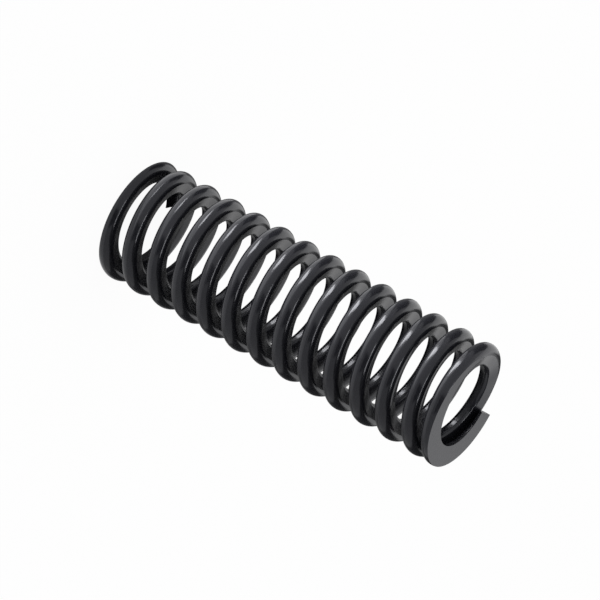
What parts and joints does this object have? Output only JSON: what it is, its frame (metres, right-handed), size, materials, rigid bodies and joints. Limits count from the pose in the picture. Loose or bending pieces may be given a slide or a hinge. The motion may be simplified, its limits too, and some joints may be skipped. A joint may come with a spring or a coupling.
{
  "type": "die spring",
  "caption": "Compression spring for dies and fixtures, coiled from flat-sided wire with a rounded outer side, with closed and ground ends.",
  "frame": {"origin": "centre of the bottom seat, on the spring's axis", "axes": "+Z along the spring's axis, from the bottom seat to the top seat"},
  "size_m": [0.016, 0.016, 0.05],
  "materials": {
    "coated_wire": "black semi-gloss coating"
  },
  "bodies": {
    "root": {"spring": "coated_wire"}
  },
  "joints": []
}
